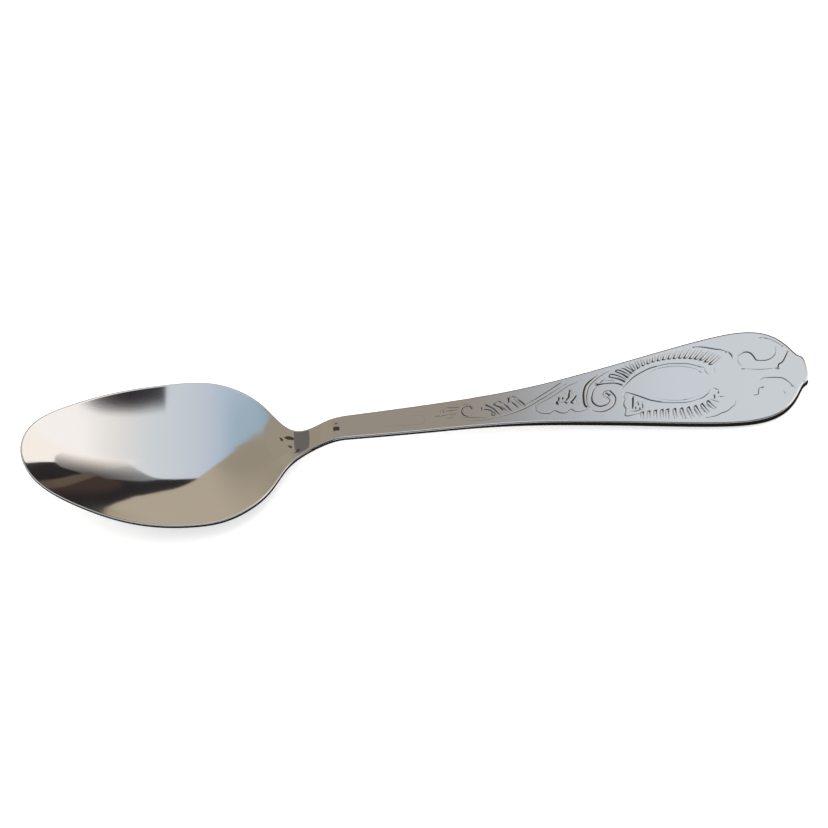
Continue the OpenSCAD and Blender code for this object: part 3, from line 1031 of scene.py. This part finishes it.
def table_paper():
    paper = bpy.data.materials.new("white_table_paper")
    paper.use_nodes = True
    tree = paper.node_tree
    shader = tree.nodes["Principled BSDF"]
    # Matt, with no gloss, so that the eye takes it for paper
    shader.inputs["Base Color"].default_value = linear("#F2F1F0")
    shader.inputs["Roughness"].default_value = PAPER_ROUGH
    shader.inputs["Specular IOR Level"].default_value = 0.0
    shader.inputs["Emission Color"].default_value = linear("#FFFFFF")
    glow = {0: background_ray(tree), 1: PAPER_GLOW}
    lift = add(tree, MATH, glow, operation="MULTIPLY").outputs[0]
    tree.links.new(lift, shader.inputs["Emission Strength"])
    return paper


plain_mesh("table", lying(0, rectangle(-FLOOR, FLOOR, -FLOOR, FLOOR)), table_paper())
world = bpy.data.worlds.new("white studio")
scene.world = world
world.use_nodes = True
world_tree = world.node_tree
room = world_tree.nodes["Background"]
room.inputs["Color"].default_value = linear("#FFFFFF")
strengths = {"Value": background_ray(world_tree), "To Min": WORLD_LIGHT, "To Max": WORLD_SEEN}
strength = add(world_tree, "ShaderNodeMapRange", strengths).outputs[0]
world_tree.links.new(strength, room.inputs["Strength"])

# %% Soft box overhead
SOFT_BOX = 1400.0
SOFT_BOX_PLACE = (-100, 100, 1100)
SOFT_BOX_WATTS = 9.0

light = bpy.data.lights.new("overhead_soft_box", "AREA")
light.shape = "RECTANGLE"
light.size = SOFT_BOX * MM
light.size_y = SOFT_BOX * MM
light.energy = SOFT_BOX_WATTS
soft_box = bpy.data.objects.new("overhead_soft_box", light)
scene.collection.objects.link(soft_box)
soft_box.location = [c * MM for c in SOFT_BOX_PLACE]
soft_box.rotation_euler = soft_box.location.to_track_quat("Z", "Y").to_euler()
soft_box.visible_glossy = False
print("soft box at mm:", SOFT_BOX_PLACE)

# %% [markdown]
# ## The room that the metal mirrors
#
# Polished steel has hardly any colour of its own. What the eye reads as its surface is the room, so
# a studio dresses the room with boards and flags that stand outside the picture. A photograph of a
# room, wrapped round the scene, would be quick, but then nothing could be moved to where it serves
# the shape. So each board is a flat card that glows in one colour, with a soft edge where it needs
# one. Only the metal sees a card. The camera, the paper and the shadows don't, so a card may stand
# anywhere. The hollow bowl shows the far side of the room, and the handle shows the sky.

# %% A card that only the metal sees
cards = []
X_AXIS = (1, 0, 0)
Y_AXIS = (0, 1, 0)
Z_AXIS = (0, 0, 1)


def card(name, colour, corners, fade=None, strength=1.0):
    """A glowing card. Its fade says how a place is measured, where the card is clear and where full."""
    paint = bpy.data.materials.new(name)
    paint.use_nodes = True
    tree = paint.node_tree
    light = add(tree, "ShaderNodeEmission", {"Color": linear(colour), "Strength": strength}).outputs[0]
    if fade:
        kind, vector, clear, full = fade
        place = add(tree, "ShaderNodeTexCoord").outputs["Object"]
        reach = add(tree, "ShaderNodeVectorMath", {0: place, 1: vector}, operation=kind).outputs["Value"]
        limits = {"Value": reach, "From Min": clear * MM, "From Max": full * MM}
        share = add(tree, "ShaderNodeMapRange", limits, interpolation_type="SMOOTHSTEP").outputs[0]
        nothing = add(tree, "ShaderNodeBsdfTransparent").outputs[0]
        light = add(tree, "ShaderNodeMixShader", {0: share, 1: nothing, 2: light}).outputs[0]
    tree.links.new(light, tree.nodes["Material Output"].inputs["Surface"])
    made = plain_mesh(name, corners, paint)
    made.visible_camera = False
    made.visible_diffuse = False
    made.visible_shadow = False
    made.visible_transmission = False
    cards.append(made)


def standing(y, outline_xz):
    """Corners of an upright card at y."""
    return [(x, y, z) for x, z in outline_xz]


def along(axis, clear, full):
    """A fade along an axis."""
    return ("DOT_PRODUCT", axis, clear, full)


def around_place(centre, clear, full):
    """A fade with the distance from a place in mm."""
    return ("DISTANCE", [c * MM for c in centre], clear, full)


# %% Far wall, table and door
WALL_Y = 400
SKY_Z = 900
PAPER_Z = 0.1  # just over the paper
BEIGE = "#D4C9B6"
SHADED_BEIGE = "#B5AB9B"
DARK = "#322F30"

wall = [
    (-1200, -5), (68, -5), (71, 40), (65.5, 128), (38, 189), (15, 240), (-6, 290), (-36, 364), (-72, 444),
    (-133, 544), (-213, 646), (-309, 789), (-345, 895), (-1200, 895),
]
ceiling = [(-345, 402), (-381, 370), (-392, 291), (-434, 207), (-553, 127), (-1200, 100), (-1200, 402)]
door = [
    (-60, -5), (300, -5), (315, 80), (345, 125), (368, 157), (390, 194), (408, 229), (341, 200),
    (300, 212), (215, 232), (171, 281), (108, 315), (60, 370), (-60, 364),
]
haze = [
    (60, 150), (330, 150), (408, 229), (540, 330), (700, 480), (760, 760), (400, 760), (175, 490),
    (105, 405), (60, 370),
]
card("beige_wall", BEIGE, standing(WALL_Y, wall))
card("shaded_wall", SHADED_BEIGE, standing(WALL_Y - 1, wall), along(X_AXIS, -60, -220))
card("beige_ceiling", SHADED_BEIGE, lying(SKY_Z - 3, ceiling))
card("beige_table", "#D7C8AA", lying(PAPER_Z, [(-600, 20), (-49, 20), (70, 399), (-900, 399)]))
card("dark_table", DARK, lying(PAPER_Z, [(-49, 20), (230, 20), (298, 402), (70, 402)]))
card("dark_door", DARK, standing(WALL_Y + 2, door))
card("dark_haze", DARK, standing(WALL_Y + 3, haze), around_place((225, 403, 215), 680, -80))
print("cards so far:", len(cards))

# %% Boards beside the door
WARM_LIGHT = 1.45
FLAG_AXIS = (0.033, 1, 0)

board = [
    (143, 18), (184, 38), (196, 61), (218, 104), (243, 150), (262, 200), (290, 270), (250, 270),
    (218, 188), (191, 117), (166, 66),
]
board_shade = [
    (90, -5), (143, -5), (166, 66), (191, 117), (218, 188), (240, 250), (150, 250), (90, 120),
]
warm_wall = [(290, -5), (2500, -5), (2500, 1000), (330, 1000)]
flag = rectangle(185, 1050, -150, -700)
card("brown_board", "#736559", standing(WALL_Y - 2, board))
card("brown_shade", "#4D403D", standing(WALL_Y - 1.5, board_shade), along(X_AXIS, 95, 150))
card("warm_wall", "#FFFAF6", standing(WALL_Y + 10, warm_wall), along(Z_AXIS, 1000, 350), WARM_LIGHT)
card("dark_flag", "#2C282F", lying(SKY_Z - 10, flag), along(FLAG_AXIS, -140, -232))
print("cards so far:", len(cards))

# %% [markdown]
# ## Small cards close over the metal
#
# The neck bends so sharply that it gathers a wide view into a few millimetres, and the shank next
# to it is nearly flat. A card far away would show in both. A small one a few millimetres over the
# neck is seen by the neck alone, so its grey patch and its dark marks can be placed exactly.

# %% Close over the neck and the shank
MARK = "#4B463F"
MARK_Z = 4
SHANK_MARK_Z = 7.5

neck = [
    (-32.3, 6.5), (-32.3, 7.75), (-31.9, 8.6), (-31.5, 12), (-27, 13), (-20, 9), (-20, 2.5), (-28.5, 4),
]
neck_patch = [
    (-23, 3.1), (-20, 2.3), (-20.2, 1.1), (-20.75, -0.85), (-21.75, -0.5), (-22.65, -0.1),
    (-23.35, 0.35), (-23.65, 1), (-23.55, 1.55), (-23.35, 2.1),
]
neck_marks = [
    [(-24.75, 2.55), (-24.2, 2.6), (-23.7, 2.45), (-23.1, 2.05), (-23.2, 1.7), (-24.1, 2.05)],
    [(-25.55, 2.9), (-25.2, 2.7), (-24.85, 2.3), (-24.95, 2.1), (-25.35, 2.3)],
    [(-24.3, 1.3), (-23.95, 1.25), (-23.65, 1), (-23.8, 0.8), (-24.1, 1.05)],
    [(-23.6, 0.1), (-22.9, 0.35), (-22.45, 0.15), (-22.55, -0.15), (-23.25, -0.05)],
]
shank_mark = [(-15.8, 1.6), (-14.1, 1.05), (-14.2, 0.25), (-15.9, 0.7)]
shank_speck = [(-15.3, 2.2), (-14.5, 2.05), (-14.55, 1.75), (-15.35, 1.9)]
card("neck_card", "#B8AF9F", lying(14, neck))
card("shank_card", "#B5ACA3", lying(28, rectangle(-24, 26, 4, 26)), along(X_AXIS, 24, 8))
card("shank_shade", "#BABDC2", lying(28.5, rectangle(-24, 56, 4, 28)), along(X_AXIS, 52, 12))
card("neck_shade", "#7C797A", lying(4.4, neck_patch))
for i, mark in enumerate(neck_marks):
    card(f"neck_mark_{i}", MARK, lying(MARK_Z, mark))
card("shank_mark", MARK, lying(SHANK_MARK_Z, shank_mark))
card("shank_speck", "#6F695D", lying(SHANK_MARK_Z, shank_speck))
print("cards so far:", len(cards))

# %% [markdown]
# ## Flags and boards for the edges
#
# A polished edge on white paper would vanish, because it mirrors the paper. Photographers lay black
# flags round a piece for that, and the edge turns into a dark line. A grey board in front keeps the
# spoon bright when it is seen from behind.

# %% Flags and boards round the spoon
BLACK = "#272727"
near_table = [(-180, -90), (78, -45), (78, -2), (-60, -2), (-90, 12), (-180, 0)]
left_corners = [(-700, -60, 0), (-250, -598, 0), (-250, -598, 330), (-700, -60, 330)]
front_sky = rectangle(-2500, 1800, -325, -1800)
card("table_flag", BLACK, lying(PAPER_Z, near_table))
card("back_board", BLACK, standing(30, [(10, -2), (100, -2), (100, 12), (10, 9)]))
card("back_flag", BLACK, lying(PAPER_Z, rectangle(10, 100, 4, 30)))
card("front_flag", "#4B4B4D", lying(SKY_Z - 15, front_sky), along(Y_AXIS, -325, -425))
card("front_board", "#BCBCBF", standing(-600, rectangle(-900, 900, 0, 290)), along(Z_AXIS, 290, 0))
card("left_board", BLACK, left_corners)
print("cards so far:", len(cards))

# %% [markdown]
# ## The sky over the handle
#
# The shank and the flat end mirror what is overhead: a pale sky, blue-grey towards the bowl and
# white towards the end. One large card carries it, and a colour ramp along x gives its shades. The
# ramp holds colours up to white, and the strength of the card lifts them a little over that.

# %% Sky
SKY_REACH = 2500
SKY_FROM = -600
SKY_TO = 1300
SKY_LIGHT = 1.5
SKY_SHADES = [
    (0.05, "#93ADBF"), (0.14, "#A0B5C9"), (0.19, "#B1C2D6"), (0.27, "#C0CADB"), (0.45, "#D0D8E1"),
    (0.6, "#E4E3E5"), (0.84, "#FBF9FB"),
]
whole_sky = rectangle(-SKY_REACH, SKY_REACH, -SKY_REACH, SKY_REACH)
card("sky", "#FFFFFF", lying(SKY_Z, whole_sky), strength=SKY_LIGHT)
sky_tree = cards[-1].data.materials[0].node_tree
place = add(sky_tree, "ShaderNodeTexCoord").outputs["Object"]
x_place = add(sky_tree, "ShaderNodeSeparateXYZ", {0: place}).outputs[0]
limits = {"Value": x_place, "From Min": SKY_FROM * MM, "From Max": SKY_TO * MM}
share = add(sky_tree, "ShaderNodeMapRange", limits).outputs[0]
ramp = add(sky_tree, "ShaderNodeValToRGB", {0: share})
elements = ramp.color_ramp.elements
while len(elements) < len(SKY_SHADES):
    elements.new(1.0)
for element, (position, shade) in zip(elements, SKY_SHADES):
    element.position = position
    element.color = linear(shade)
sky_tree.links.new(ramp.outputs[0], sky_tree.nodes["Emission"].inputs["Color"])
print("shades of the sky:", len(elements), "cards in all:", len(cards))

# %% [markdown]
# ## The camera
#
# The picture looks down on the spoon from a little over half-way up, with the camera tilted so
# that the handle climbs to the right. A long lens keeps the two ends of the spoon in proportion.

# %% Camera
AZIMUTH = math.radians(4.179)
ELEVATION = math.radians(54.5804)
ROLL = math.radians(-12.5)
TARGET = (69.501 - LENGTH / 2, 1.827, 4.0)
DISTANCE = 700.0
SENSOR = 36.0
LENS = 170.466
NEAREST = 10.0

reach = math.cos(ELEVATION)
back = np.array([math.sin(AZIMUTH) * reach, -math.cos(AZIMUTH) * reach, math.sin(ELEVATION)])
level_right = np.array([math.cos(AZIMUTH), math.sin(AZIMUTH), 0.0])
level_up = np.cross(back, level_right)
right = math.cos(ROLL) * level_right + math.sin(ROLL) * level_up
up = math.cos(ROLL) * level_up - math.sin(ROLL) * level_right
camera_data = bpy.data.cameras.new("camera")
camera_data.sensor_width = SENSOR
camera_data.lens = LENS
camera_data.clip_start = NEAREST * MM
camera = bpy.data.objects.new("camera", camera_data)
scene.collection.objects.link(camera)
axes = Matrix((right, up, back)).transposed().to_4x4()
axes.translation = (np.array(TARGET) + DISTANCE * back) * MM
camera.matrix_world = axes
scene.camera = camera
print("camera at mm:", [round(c / MM, 1) for c in camera.location])
